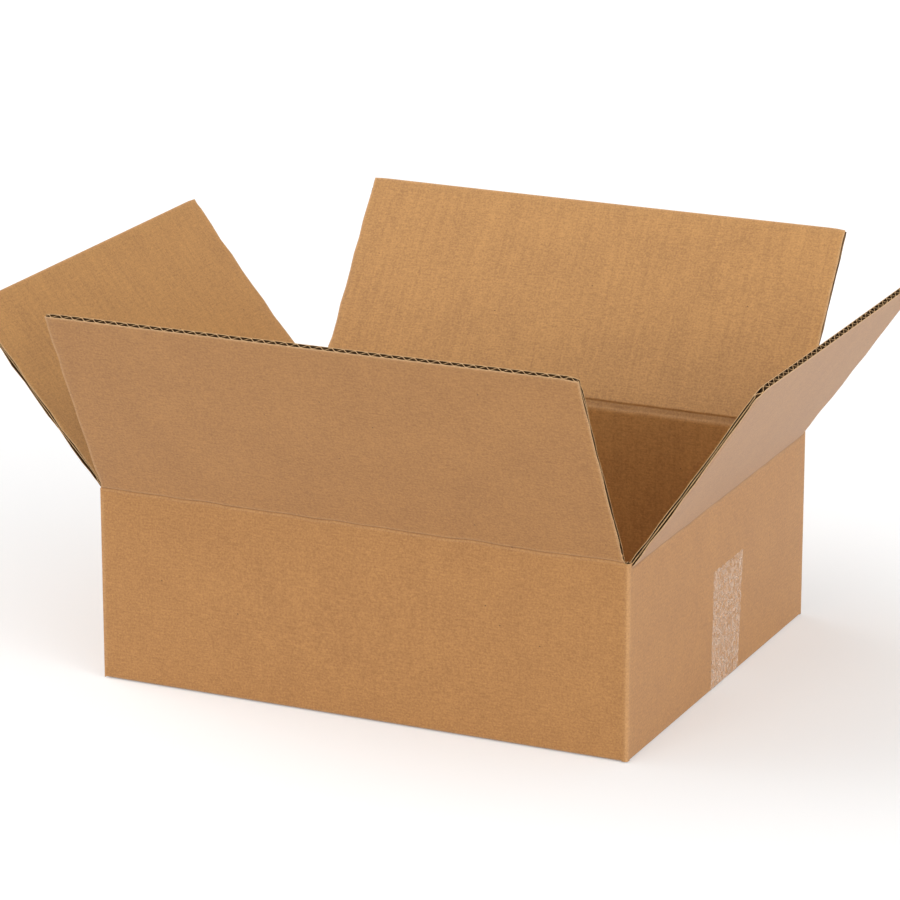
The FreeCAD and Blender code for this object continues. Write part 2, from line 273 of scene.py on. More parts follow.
def pressed(distance):
    """Share from 0 to 1 of the score's depth at a distance from the crease: a flat-bottomed
    groove with rounded shoulders."""
    shoulder = np.where(distance > 0, PRESS_SHOULDER, LOW_SHOULDER)
    return smooth((PRESS_HALF + shoulder / 2 - np.abs(distance)) / shoulder)


def flap_sheet(side, share, distance, depth):
    """Points of a flap's sheet. share runs from 0 to 1 along the crease, distance across it, from
    below zero on the wall to the free edge, and depth from the outer face to the inside. The
    line across the crease is carried along it. The twist grows in step with the distance. The bow
    is a sine away from the crease and a parabola along it. The fan, the trim and the inset move
    the sheet's ends, and the rise lifts it."""
    lean = math.radians(side["lean"])
    reach = np.clip(distance / FLAP_LENGTH, 0.0, None)
    width = side["high"] - side["low"]
    trim = between(side["trim"], share)
    trim = trim - side["blunt"][0] * bell(share * width, BLUNT_REACH)
    trim = trim - side["blunt"][1] * bell((1 - share) * width, BLUNT_REACH)
    out, up, turn = fold_line(lean)(distance + reach * trim)
    out = out - depth * np.cos(turn)
    up = up + depth * np.sin(turn)
    twist = np.radians(between(side["twist"], share))
    lift = reach * FLAP_LENGTH * np.tan(twist)
    lift = lift + side["bow"][0] * np.sin(math.pi * np.clip(reach, 0, 1))
    lift = lift + side["bow"][1] * 4 * share * (1 - share) * reach
    out = out + lift * math.cos(lean)
    up = up - lift * math.sin(lean)
    fan = reach * (side["fan"][1] * share - side["fan"][0] * (1 - share))
    inset = side["inset"][0] * (1 - share) - side["inset"][1] * share
    a = side["low"] + share * width + fan + inset * smooth(distance / INSET_STEP) * (1 - reach)
    rise = between(side["rise"], share) * smooth((distance + SEAM_DROP) / SEAM_DROP)
    return place(side, a, side["face"] - PIVOT_DEPTH + out, side["crease"] + up + rise)


def flap_rows():
    """Distances of a flap's mesh rows from its crease: close at the crease, wide on the flap."""
    near = np.concatenate([even(-SEAM_DROP, -2.0, 4), even(-1.65, 1.65, 11), even(2.1, 4.0, 3)])
    return np.concatenate([near, [6.0, 9.0, 13.0], even(19.0, FLAP_LENGTH - 7.0, 10),
                           [FLAP_LENGTH - 3.5, FLAP_LENGTH - 1.2, FLAP_LENGTH]])


def flap_board(side_name, materials):
    """One top flap with its crease and the strip of wall below it, as one folded sheet: two flat
    facings, and between them the wavy paper as a sine of the place along the crease."""
    side = SIDES[side_name]
    seed = side["seed"]
    width = side["high"] - side["low"]
    board = Sheets()
    rows = flap_rows()

    def grids(columns):
        share, distance = np.meshgrid(even(0.0, 1.0, columns), rows, indexing="ij")
        a = side["low"] + share * width
        return share, distance, a

    def faces_at(share, distance, a):
        """Depths of the outer and of the inner face; the share of paling, which is real wear at the cut
        edges and a painted highlight beside the crease; and the shares of the outer line and of the
        score, which also darken the paper as painted shade.
        """
        wobble = LINE_WOBBLE * ripple(a, LINE_WAVE, seed)
        score = pressed(distance - 0.5 * wobble)
        depth, reach = side["line"]
        line = depth * bell(distance - wobble, reach)
        hollow = SOFT_PRESS * bell(distance, SOFT_PRESS_REACH) * smooth((distance + SEAM_DROP) / 2.5)
        wave = WASHBOARD * (1 - np.cos(2 * flute_phase(side, a))) / 2 * (1 - score)
        top = FOLD_LINE_DEPTH * line + wave
        low = BOARD - PRESS_DEPTH * score - hollow - wave
        # The knife squeezed the side edges, more in some places than in others
        edge = np.minimum(share, 1 - share) * width
        squeeze = SQUEEZE * (0.5 + 0.9 * ripple(distance, SQUEEZE_WAVE, seed + 1))
        squeeze = np.clip(squeeze * bell(edge, SQUEEZE_REACH), 0.0, SQUEEZE_MOST)
        squeeze = squeeze * (1 - score) * smooth(distance / 3.0)
        top, low = top + squeeze, low - squeeze
        wear = EDGE_WEAR * bell(edge, WEAR_REACH) * smooth(distance / 2.0)
        wear = wear + EDGE_WEAR * bell(distance - FLAP_LENGTH, WEAR_REACH)
        # Painted highlight: pale lines on either side of the crease line
        wear = wear + 0.25 * depth * bell(np.abs(distance - wobble) - 1.1, 0.5)
        return top, low, np.clip(wear, 0, 1), line, score

    share, distance, a = grids(flute_count(side) * STEPS_PER_FLUTE + 1)
    top, low, wear, line, score = faces_at(share, distance, a)
    flat = np.stack([sheet_start(side_name) + a, side["crease"] + distance], axis=-1)

    def ragged(amount, salt):
        """Share along the crease with the two side edges uneven by that many millimetres."""
        ends = np.where(share < 0.5, bell(share * width, 1.5), -bell((1 - share) * width, 1.5))
        uneven = (0.5 + 0.25 * ripple(distance, RAGGED_WAVES[0], seed + salt)
                  + 0.35 * ripple(distance, RAGGED_WAVES[1], seed + salt + 3))
        return share + ends * amount * uneven / width * smooth((distance + 0.5) / 3.0)

    # The outer facing darkens along the thin crease line, as painted shade
    board.plate(flap_sheet(side, ragged(RAGGED_OUTER, 11), distance, top),
                flap_sheet(side, ragged(RAGGED_OUTER, 11), distance, top + LINER),
                flat, (OUTER, CORE, EDGE), wear, line)
    # The inner facing darkens in the score's groove, as painted shade
    board.plate(flap_sheet(side, ragged(RAGGED_INNER, 12), distance, low - LINER),
                flap_sheet(side, ragged(RAGGED_INNER, 12), distance, low),
                flat, (CORE, INNER, EDGE), wear, 0.75 * score)

    share, distance, a = grids(flute_count(side) * WAVES_PER_FLUTE + 1)
    top, low, wear, line, score = faces_at(share, distance, a)
    phase = flute_phase(side, a)
    room = low - top - 2 * LINER
    paper = np.minimum(MEDIUM, 0.6 * room)
    swing = (room - paper) / 2
    slope = swing * 2 * math.pi / FLUTE_PITCH * np.cos(phase)
    thick = paper * np.sqrt(1 + slope * slope)
    middle = (top + low) / 2 + swing * np.sin(phase)
    flat = np.stack([sheet_start(side_name) + a, side["crease"] + distance], axis=-1)
    board.plate(flap_sheet(side, ragged(RAGGED_MEDIUM, 13), distance, middle - thick / 2),
                flap_sheet(side, ragged(RAGGED_MEDIUM, 13), distance, middle + thick / 2),
                flat, (CORE, CORE, EDGE), 0.0, 0.0)
    return board.make(side_name + "_flap_board", materials)


# Walls, one sheet that runs round the box from the front panel's raw edge at the glued corner

def sheet_start(side_name):
    """Where a side's middle lies along the unfolded sheet, from the middle of the front panel."""
    order = ["front", "right", "back", "left"]
    middles = [0.0, HALF_LENGTH + HALF_WIDTH, 2 * (HALF_LENGTH + HALF_WIDTH),
               3 * (HALF_LENGTH + HALF_WIDTH)]
    return middles[order.index(side_name)]


PANEL_BOW = {"front": 0.5, "right": 0.35, "back": 0.4, "left": 0.4}    # bulge of a wall's middle


def bulge(side_name, a, height):
    """How far a panel stands out at a place along it and a share of its height: a low dome that
    ends level at the folds."""
    side = SIDES[side_name]
    half = (side["high"] - side["low"]) / 2
    level = np.sin(math.pi * np.clip(height, 0, 1)) ** 2
    return PANEL_BOW[side_name] * bell(a, half / 2) ** 2 * level


def wall_path():
    """Stations round the box, seen from above: for each the outer point, the inner point, the
    outward direction, the place along the sheet, the flute angle, the heights of the sheet's foot
    and top, how near a fold it is and the panel's bow. Straight runs and quarter circles follow
    each other."""
    names = ["front", "right", "back", "left"]
    parts = []
    for index, name in enumerate(names):
        side = SIDES[name]
        half = HALF_LENGTH if name in ("front", "back") else HALF_WIDTH
        first = -HALF_LENGTH + 0.2 if name == "front" else -(half - FOLD_RADIUS)
        last = HALF_WIDTH - BOARD - LAP_RADIUS if name == "left" else half - FOLD_RADIUS
        inner_first = first if name == "front" else -(half - BOARD - INNER_RADIUS)
        inner_last = last if name == "left" else half - BOARD - INNER_RADIUS
        top = side["crease"] - SEAM_DROP
        foot = FOOT_TOP[name]
        run = [(first, SLOT_FOOT, COLUMN_FOOT), (side["low"] - 0.01, SLOT_FOOT, COLUMN_FOOT),
               (side["low"], top, foot), (side["high"], top, foot),
               (side["high"] + 0.01, SLOT_FOOT, COLUMN_FOOT), (last, SLOT_FOOT, COLUMN_FOOT)]
        count = flute_count(side) * STEPS_PER_FLUTE + 1
        middle = even(side["low"], side["high"], count)
        a = np.concatenate([[run[0][0], run[1][0]], middle, [run[4][0], run[5][0]]])
        tops = np.interp(a, [r[0] for r in run], [r[1] for r in run])
        feet = np.interp(a, [r[0] for r in run], [r[2] for r in run])
        inner = np.interp(a, [first, last], [inner_first, inner_last])
        parts.append(dict(
            outer=place(side, a, side["face"], 0.0)[..., :2],
            inner=place(side, inner, side["face"] - BOARD, 0.0)[..., :2],
            out=np.broadcast_to(np.array(side["out"], float), (len(a), 2)),
            along=sheet_start(name) + a, phase=flute_phase(side, a), top=tops, foot=feet,
            fold=bell(half - FOLD_RADIUS * 0.4 - np.abs(a), 1.2), bow=bulge(name, a, 0.5)))
        # The fold at the end of this side
        turn = even(0.0, math.pi / 2, 9)[1:-1]
        radius = LAP_RADIUS if name == "left" else FOLD_RADIUS
        following = SIDES[names[(index + 1) % 4]]
        out = (np.cos(turn)[:, None] * np.array(side["out"], float)
               + np.sin(turn)[:, None] * np.array(following["out"], float))
        centre = place(side, last, side["face"] - radius, 0.0)[:2]
        centre_in = place(side, inner_last, side["face"] - BOARD - INNER_RADIUS, 0.0)[:2]
        if name == "left":
            centre_in = place(side, last, side["face"] - BOARD, 0.0)[:2]
        radius_in = NO_RADIUS if name == "left" else INNER_RADIUS
        parts.append(dict(
            outer=centre + radius * out, inner=centre_in + radius_in * out,
            out=out, along=sheet_start(name) + last + radius * turn,
            phase=np.zeros(len(turn)), top=np.full(len(turn), SLOT_FOOT),
            foot=np.full(len(turn), COLUMN_FOOT), fold=np.ones(len(turn)), bow=np.zeros(len(turn))))
    return {key: np.concatenate([part[key] for part in parts]) for key in parts[0]}


def walls(materials):
    """The four walls: the path round the box carried up from the sheet's foot to its top, with
    the facings sinking a little between the flutes and a slight bow of each panel."""
    path = wall_path()
    rise = np.concatenate([[0.0, 0.02, 0.05], even(0.1, 0.9, 9), [0.95, 0.98, 1.0]])
    share, height = np.meshgrid(np.arange(len(path["top"])), rise, indexing="ij")
    foot, top = path["foot"][:, None], path["top"][:, None]
    up = foot + height * (top - foot)
    flat = np.stack([np.broadcast_to(path["along"][:, None], up.shape), up], axis=-1)
    wave = WASHBOARD * (1 - np.cos(2 * path["phase"])) / 2
    wave = (wave * (1 - path["fold"]))[:, None]
    bow = (path["bow"][:, None] * np.sin(math.pi * height) ** 2)
    reach = path["outer"] - path["inner"]

    def layer(depth):
        """Points at a depth from the outer face, from 0 to the board's thickness."""
        ground = path["outer"][:, None, :] - reach[:, None, :] * (depth / BOARD)[..., None]
        ground = ground + path["out"][:, None, :] * bow[..., None]
        return np.concatenate([ground, up[..., None]], axis=-1)

    zero = np.zeros_like(up)
    fold = np.broadcast_to(path["fold"][:, None], up.shape)
    board = Sheets()
    # Outside, paler round the upright folds: a painted highlight on the rounded folds
    board.plate(layer(wave + zero), layer(LINER + zero), flat, (OUTER, CORE, EDGE), 0.4 * fold, 0.0)
    # Inside, darker in the corners of the upright folds: painted shade
    board.plate(layer(BOARD - LINER + zero), layer(BOARD - wave + zero), flat,
                (CORE, INNER, EDGE), 0.0, 0.8 * fold)
    # The wavy paper has its own, closer stations
    fine = np.linspace(0, len(path["top"]) - 1, 2 * len(path["top"]) - 1)
    at = np.arange(len(path["top"]))
    close = {k: np.interp(fine, at, path[k]) for k in ("top", "foot", "along", "bow")}
    swing = (BOARD - 2 * LINER - MEDIUM) / 2
    wavy = BOARD / 2 + swing * np.sin(2 * math.pi * close["along"] / FLUTE_PITCH)
    outer = np.stack([np.interp(fine, at, path["outer"][:, k]) for k in (0, 1)], axis=-1)
    inner = np.stack([np.interp(fine, at, path["inner"][:, k]) for k in (0, 1)], axis=-1)
    facing = np.stack([np.interp(fine, at, path["out"][:, k]) for k in (0, 1)], axis=-1)
    height = even(0.0, 1.0, 11)
    up = close["foot"][:, None] + height * (close["top"] - close["foot"])[:, None]
    bow = close["bow"][:, None] * np.sin(math.pi * height) ** 2

    def core(depth):
        ground = outer - (outer - inner) * (depth / BOARD)[:, None]
        ground = ground[:, None, :] + facing[:, None, :] * bow[..., None]
        return np.concatenate([ground, up[..., None]], axis=-1)

    flat = np.stack([np.broadcast_to(close["along"][:, None], up.shape), up], axis=-1)
    board.plate(core(wavy - MEDIUM / 2), core(wavy + MEDIUM / 2), flat, (CORE, CORE, EDGE), 0.0, 0.0)
    return board.make("box_walls", materials)


# The closed bottom: each wall's sheet turns under the box

FOOT_TOP = {"front": 6.0, "right": 10.0, "back": 6.0, "left": 10.0}    # where a wall's sheet ends
FLOOR_LIFT = 0.12        # the bottom's outer face stands on the tape's thickness
INNER_FLOOR = 3.3        # outer face of the inner bottom flaps
SEAM_HALF = 0.5          # half of the seam between the outer bottom flaps
INNER_FREE = 29.4        # free edges of the inner ones from the middle
HEM_RADIUS = 1.3         # of the crushed fold under an end wall
LEVEL_ROWS = 8           # mesh rows of a bottom flap's level part
FRONT_SETBACK = 2.0      # of the front bottom flap beside the glued corner


def foot_of_long_wall(top):
    """The line across the foot of a long wall, seen along it: upright, a quarter circle under
    the box, then level to the seam. Gives the outer points, the inner points and how much each
    row is folded, out from the wall's face and up from the floor."""
    turn = even(0.0, math.pi / 2, 10)
    end = -(HALF_WIDTH - SEAM_HALF)
    out = np.concatenate([[0.0, 0.0], FOLD_RADIUS * (np.cos(turn) - 1),
                          even(-FOLD_RADIUS, end, LEVEL_ROWS)[1:]])
    up = np.concatenate([[top, (top + FOLD_RADIUS) / 2], FLOOR_LIFT + FOLD_RADIUS * (1 - np.sin(turn)),
                         np.full(LEVEL_ROWS - 1, FLOOR_LIFT)])
    floor = FLOOR_LIFT + BOARD
    inside = -BOARD - INNER_RADIUS
    out_in = np.concatenate([[-BOARD, -BOARD], inside + INNER_RADIUS * np.cos(turn),
                             even(inside, end, LEVEL_ROWS)[1:]])
    up_in = np.concatenate([[top, (top + floor + INNER_RADIUS) / 2],
                            floor + INNER_RADIUS * (1 - np.sin(turn)),
                            np.full(LEVEL_ROWS - 1, floor)])
    fold = np.concatenate([[0.0, 0.0], np.sin(2 * turn), np.zeros(LEVEL_ROWS - 1)])
    return out, up, out_in, up_in, fold


def foot_of_end_wall(top):
    """The same across the foot of an end wall: the board reaches the floor, turns up again as a
    crushed hem beside the outer bottom flaps, and goes on level over them as the inner flap."""
    hem, rise = even(0.0, math.pi, 13), even(0.0, math.pi / 2, 5)
    small = INNER_RADIUS
    end = -(HALF_LENGTH - INNER_FREE)
    back = -2 * HEM_RADIUS
    out = np.concatenate([[0.0, 0.0], HEM_RADIUS * (np.cos(hem) - 1),
                          back - small + small * np.cos(rise),
                          even(back - small, end, LEVEL_ROWS)[1:]])
    up = np.concatenate([[top, top / 2], FLOOR_LIFT + HEM_RADIUS * (1 - np.sin(hem)),
                         INNER_FLOOR - small + small * np.sin(rise),
                         np.full(LEVEL_ROWS - 1, INNER_FLOOR)])
    floor = INNER_FLOOR + BOARD
    inside = -BOARD - INNER_RADIUS
    turn = even(0.0, math.pi / 2, len(hem) + len(rise))
    out_in = np.concatenate([[-BOARD, -BOARD], inside + INNER_RADIUS * np.cos(turn),
                             even(inside, end, LEVEL_ROWS)[1:]])
    up_in = np.concatenate([[top, (top + floor + INNER_RADIUS) / 2],
                            floor + INNER_RADIUS * (1 - np.sin(turn)),
                            np.full(LEVEL_ROWS - 1, floor)])
    fold = np.concatenate([[0.0, 0.0], np.sin(hem), np.zeros(len(rise) + LEVEL_ROWS - 1)])
    return out, up, out_in, up_in, fold


def bottom_board(side_name, materials):
    """A bottom flap with the lowest strip of its wall: the line across the foot is carried along
    it. The front one is set back beside the glued corner, to clear the left wall's hem."""
    side = SIDES[side_name]
    seed = side["seed"] + 40
    long_wall = side_name in ("front", "back")
    foot = foot_of_long_wall if long_wall else foot_of_end_wall
    out, up, out_in, up_in, fold = foot(FOOT_TOP[side_name])
    run = np.concatenate([[0.0], np.cumsum(np.hypot(np.diff(out), np.diff(up)))])
    width = side["high"] - side["low"]
    setback = FRONT_SETBACK if side_name == "front" else 0.0

    def grids(steps):
        """Columns run towards the low end, so that the outer face still points outwards."""
        columns = even(side["high"], side["low"], flute_count(side) * steps + 1)
        a, row = np.meshgrid(columns, np.arange(len(out)), indexing="ij")
        edge = np.minimum(a - side["low"], side["high"] - a)
        flat = np.stack([sheet_start(side_name) + a, FOOT_TOP[side_name] - run[row]], axis=-1)
        return a, row, edge, flat

    def sheet(a, row, depth):
        """Points at a depth from the outer face, on the straight way to the inner face."""
        share = depth / BOARD
        past = smooth((run[row] - FOOT_TOP[side_name]) / 4.0)
        a = a + setback * past * (side["high"] - a) / width
        return place(side, a, side["face"] + out[row] + (out_in - out)[row] * share,
                     up[row] + (up_in - up)[row] * share)

    board = Sheets()
    a, row, edge, flat = grids(STEPS_PER_FLUTE)
    level = smooth((run[row] - FOOT_TOP[side_name]) / 6.0)
    squeeze = 0.25 * level * bell(edge, 2.0) * (0.6 + 0.4 * ripple(run[row], 15.0, seed))
    wave = WASHBOARD * (1 - np.cos(2 * flute_phase(side, a))) / 2
    ends = 0.6 * bell(edge, 0.8) * level + 0.6 * bell(run[row] - run[-1], 0.8)
    # Paler on the rounded folds under the box, a painted highlight, and at the cut ends, real wear
    wear = np.clip(0.35 * fold[row] + ends, 0, 1)
    top, low = wave + squeeze, BOARD - squeeze - wave
    board.plate(sheet(a, row, top), sheet(a, row, top + LINER), flat,
                (OUTER, CORE, EDGE), wear, 0.0)
    # Inside, darker in the folds under the box: painted shade
    board.plate(sheet(a, row, low - LINER), sheet(a, row, low), flat,
                (CORE, INNER, EDGE), ends, 0.5 * fold[row])
    a, row, edge, flat = grids(WAVES_PER_FLUTE)
    phase = flute_phase(side, a)
    swing = (BOARD - 2 * LINER - MEDIUM) / 2 * (1 - 0.8 * fold[row])
    slope = swing * 2 * math.pi / FLUTE_PITCH * np.cos(phase)
    thick = MEDIUM * np.sqrt(1 + slope * slope)
    middle = BOARD / 2 + swing * np.sin(phase)
    inset = 0.5 * bell(edge, 1.5) * (0.5 + 0.5 * ripple(run[row], 9.0, seed + 2))
    a = a - np.sign(a) * inset
    board.plate(sheet(a, row, middle - thick / 2), sheet(a, row, middle + thick / 2), flat,
                (CORE, CORE, EDGE), 0.0, 0.0)
    return board.make(side_name + "_bottom_flap", materials)


# The lap: its ends along the front panel, where it lies, its thickness as pressed, its height and
# how much lower its ends are cut at the free edge
TAB = dict(start=-152.4, end=-120.4, face=-127.0, thick=1.8, foot=6.7, top=102.9, slant=8.0)


def glue_tab(materials):
    """The lap glued inside the front panel: a pressed flat plate whose ends are cut at a slant."""
    across, height = np.meshgrid(even(0.0, 1.0, 24), even(0.0, 1.0, 30), indexing="ij")
    x = TAB["start"] + across * (TAB["end"] - TAB["start"])
    foot = TAB["foot"] + TAB["slant"] * across
    top = TAB["top"] - TAB["slant"] * across
    z = foot + height * (top - foot)
    edge = (1 - across) * (TAB["end"] - TAB["start"])
    thick = TAB["thick"] - 0.5 * bell(edge, 2.0) + 0.05 * ripple(z, 20.0, 71)
    outer = np.stack([x, np.full_like(x, TAB["face"] + 0.02), z], axis=-1)
    inner = np.stack([x, TAB["face"] + thick, z], axis=-1)
    board = Sheets()
    flat = np.stack([sheet_start("left") + HALF_WIDTH + x - TAB["start"], z], axis=-1)
    board.plate(outer, inner, flat, (OUTER, INNER, EDGE), 0.5 * bell(edge, 0.9), 0.0)
    return board.make("glue_tab", materials)


TAPE_FILM = 0.10         # thickness; real 0.05, drawn so that its edge shows
TAPE_RADIUS = 1.2        # round the foot of an end panel
TAPE_LIFT = 0.01         # off the floor
TAPE_STAND = 0.02        # off the panel
PANEL_ROWS = 24          # mesh rows down a panel
BOTTOM_ROWS = 30         # and along half of the bottom
TAPE = {
    "top": 68.5,
    # Its two edges, from the middle of the box, on each end panel at the top and at the foot
    "right": ((-11.2, 32.7), (-11.9, 28.4)),
    "left": ((-12.6, 30.4), (-11.9, 31.0)),
    "bottom": (-12.0, 31.0),
}


def packing_tape(materials):
    """The strip of tape: its line goes down the right end panel, round a quarter circle, along the
    bottom seam and up the left end panel, and the strip's two edges run beside it."""
    turn = even(0.0, math.pi / 2, 7)
    face = HALF_LENGTH + TAPE_STAND
    wall_top = SIDES["right"]["crease"] - SEAM_DROP
    x = np.concatenate([np.full(PANEL_ROWS, face), face - TAPE_RADIUS * (1 - np.cos(turn))[1:],
                        even(face - TAPE_RADIUS, 0, BOTTOM_ROWS)[1:]])
    z = np.concatenate([even(TAPE["top"], TAPE_RADIUS + TAPE_LIFT, PANEL_ROWS),
                        TAPE_LIFT + TAPE_RADIUS * (1 - np.sin(turn))[1:],
                        np.full(BOTTOM_ROWS - 1, TAPE_LIFT)])
    tilt = np.concatenate([np.zeros(PANEL_ROWS), turn[1:], np.full(BOTTOM_ROWS - 1, math.pi / 2)])
    high = np.clip((z - TAPE_LIFT) / (TAPE["top"] - TAPE_LIFT), 0, 1)
    towards = np.clip(x / face, 0, 1)

    def edges(name, sign):
        """Place of the two edges beside the line, moving from the panel's foot to its own top."""
        (top_low, top_high), (foot_low, foot_high) = TAPE[name]
        low = top_low * high + (1 - high) * between((TAPE["bottom"][0], foot_low), towards)
        far = top_high * high + (1 - high) * between((TAPE["bottom"][1], foot_high), towards)
        return sign * x, low, far

    x_right, low_right, far_right = edges("right", 1)
    x_left, low_left, far_left = edges("left", -1)
    xs = np.concatenate([x_right, x_left[::-1][1:]])
    zs = np.concatenate([z, z[::-1][1:]])
    low = np.concatenate([low_right, low_left[::-1][1:]])
    far = np.concatenate([far_right, far_left[::-1][1:]])
    out = np.concatenate([np.cos(tilt), -np.cos(tilt)[::-1][1:]])
    under = np.concatenate([np.sin(tilt), np.sin(tilt)[::-1][1:]])
    across, row = np.meshgrid(even(0, 1, 40), np.arange(len(xs)), indexing="ij")
    y = low[row] + across * (far - low)[row]
    run = np.concatenate([[0.0], np.cumsum(np.hypot(np.diff(xs), np.diff(zs)))])
    share = (zs[row] - FOOT_TOP["right"]) / (wall_top - FOOT_TOP["right"])
    stand = np.where(xs[row] > 0, bulge("right", y, share), bulge("left", -y, share)) * out[row]
    inner = np.stack([xs[row] + stand, y, zs[row] + TAPE_FILM * under[row]], axis=-1)
    outer = inner + np.stack([TAPE_FILM * out[row], np.zeros_like(y), -TAPE_FILM * under[row]], axis=-1)
    film = Sheets()
    flat = np.stack([y, run[row]], axis=-1)
    film.plate(outer[::-1], inner[::-1], flat[::-1], (0, 0, 0), 0.0, 0.0)
    return film.make("packing_tape_strip", materials)


# Materials

def linear(code, alpha=1.0):
    """An sRGB hex colour as linear red, green, blue and alpha."""
    parts = [int(code[i:i + 2], 16) / 255 for i in (1, 3, 5)]
    return tuple(p / 12.92 if p <= 0.04045 else ((p + 0.055) / 1.055) ** 2.4 for p in parts) + (alpha,)


def node(tree, kind, links=None, **settings):
    """Adds a node. Settings are its own properties or, by name or number, its inputs' values,
    and links join its inputs to the outputs of other nodes."""
    made = tree.nodes.new(kind)
    inputs = settings.pop("inputs", {})
    for key, value in settings.items():
        setattr(made, key, value)
    for key, value in inputs.items():
        made.inputs[key].default_value = value
    for key, value in (links or {}).items():
        tree.links.new(value, made.inputs[key])
    return made


def blank(name):
    """A new material and its emptied tree, with the output node."""
    material = bpy.data.materials.new(name)
    material.use_nodes = True
    tree = material.node_tree
    tree.nodes.clear()
    return material, tree, node(tree, "ShaderNodeOutputMaterial")


def blend_colour(tree, factor, first, second):
    """One colour where the factor is 0, the other where it is 1. A colour is a hex code or a
    node's output."""
    made = node(tree, "ShaderNodeMix", data_type="RGBA")
    for place_of, value in ((0, factor), (6, first), (7, second)):
        if isinstance(value, str):
            made.inputs[place_of].default_value = linear(value)
        elif isinstance(value, float):
            made.inputs[place_of].default_value = value
        else:
            tree.links.new(value, made.inputs[place_of])
    return made.outputs[2]


def sum_of(tree, parts, start):
    """start plus each output times its weight."""
    total = None
    for output, weight in parts:
        links = {0: output}
        inputs = {1: weight}
        if total is None:
            inputs[2] = start
        else:
            links[2] = total
        total = node(tree, "ShaderNodeMath", links, operation="MULTIPLY_ADD", inputs=inputs).outputs[0]
    return total


GRAIN_MM = 1.1           # clumps of fibre; real ones are 0.2, drawn coarser so that they show
CLOUD_MM = 26.0          # uneven thickness of the paper web
FIBRE_LONG_MM = 7.0      # streaks along the paper machine's direction, round the box
FIBRE_WIDE_MM = 0.9
SPECK_MM = 15.0          # cells with at most one dark speck each
MEDIUM_GRAIN_MM = 0.9    # real 0.3, drawn coarser
EDGE_GRAIN_MM = 1.3      # real 0.2, drawn coarser
BUBBLE_MM = 3.0          # air under the tape; real bubbles are 0.3, drawn coarser so that they show
BUBBLE_CLOUD_MM = 18.0   # where the tape was rubbed down more and less


def kraft_liner(name, dark, light, streak, fuzz):
    """Unbleached kraft linerboard, pressed and calendered: a matte brown sheet. Its fibres give a
    fine mottle and faint streaks, the flutes under it show as faint upright lines, and scuffed
    edges turn pale and furry. The same paling along the rounded folds and beside the creases is a
    painted highlight, and the darkening in creases, score grooves and inside corners is painted
    shade. Fuzz is the sheen of loose fibres, which shows at a slant."""
    material, tree, end = blank(name)
    where = node(tree, "ShaderNodeTexCoord")
    sheet = where.outputs["UV"]
    solid = where.outputs["Object"]
    grain = node(tree, "ShaderNodeTexNoise", {"Vector": solid},
                 inputs={"Scale": 1 / (GRAIN_MM * MM), "Detail": 3.0, "Roughness": 0.65}).outputs[0]
    cloud = node(tree, "ShaderNodeTexNoise", {"Vector": solid},
                 inputs={"Scale": 1 / (CLOUD_MM * MM), "Detail": 3.0, "Roughness": 0.55}).outputs[0]
    drawn = node(tree, "ShaderNodeMapping", {"Vector": sheet},
                 inputs={"Scale": (1 / (FIBRE_LONG_MM * MM), 1 / (FIBRE_WIDE_MM * MM), 1.0)})
    fibre = node(tree, "ShaderNodeTexNoise", {"Vector": drawn.outputs[0]},
                 inputs={"Scale": 1.0, "Detail": 2.0, "Roughness": 0.6}).outputs[0]
    ribs = node(tree, "ShaderNodeMapping", {"Vector": sheet},
                inputs={"Scale": (1 / (FLUTE_PITCH * MM / 2), 1 / (60.0 * MM), 1.0)})
    lines = node(tree, "ShaderNodeTexNoise", {"Vector": ribs.outputs[0]},
                 inputs={"Scale": 1.0, "Detail": 2.0, "Roughness": 0.7}).outputs[0]
    shares = [(grain, 2.3), (cloud, 0.5), (fibre, 1.0), (lines, streak)]
    tone = sum_of(tree, shares, 0.5 - sum(weight for _, weight in shares) / 2)
    tone = node(tree, "ShaderNodeClamp", {"Value": tone}).outputs[0]
    colour = blend_colour(tree, tone, dark, light)
    cells = node(tree, "ShaderNodeTexVoronoi", {"Vector": solid},
                 inputs={"Scale": 1 / (SPECK_MM * MM), "Randomness": 1.0})
    speck = node(tree, "ShaderNodeMapRange", {"Value": cells.outputs["Distance"]},
                 inputs={"From Min": 0.022, "From Max": 0.036, "To Min": 0.75, "To Max": 0.0}).outputs[0]
    colour = blend_colour(tree, speck, colour, "#4A2E14")
    # Paling: real torn fibre at cut edges, and a painted highlight on rounded folds and beside creases
    wear = node(tree, "ShaderNodeAttribute", attribute_name="wear").outputs["Fac"]
    wear_and_highlight_pale = node(tree, "ShaderNodeMath", {0: wear, 1: grain}, operation="MULTIPLY").outputs[0]
    colour = blend_colour(tree, wear_and_highlight_pale, colour, "#D8B183")
    # Painted shade: darker along the crease lines, in the score grooves and inside the folds' corners
    press = node(tree, "ShaderNodeAttribute", attribute_name="press").outputs["Fac"]
    shade = node(tree, "ShaderNodeMath", {0: press}, operation="MULTIPLY", inputs={1: 0.3}).outputs[0]
    colour = blend_colour(tree, shade, colour, "#5E3D1C")
    relief = sum_of(tree, [(grain, 1.0), (fibre, 0.8)], 0.0)
    bump = node(tree, "ShaderNodeBump", {"Height": relief},
                inputs={"Strength": 0.35, "Distance": 0.06 * MM})
    shader = node(tree, "ShaderNodeBsdfPrincipled", {"Base Color": colour, "Normal": bump.outputs[0]},
                  inputs={"Roughness": 0.6, "IOR": 1.5, "Sheen Weight": fuzz, "Sheen Roughness": 0.5})
    tree.links.new(shader.outputs[0], end.inputs[0])
    return material


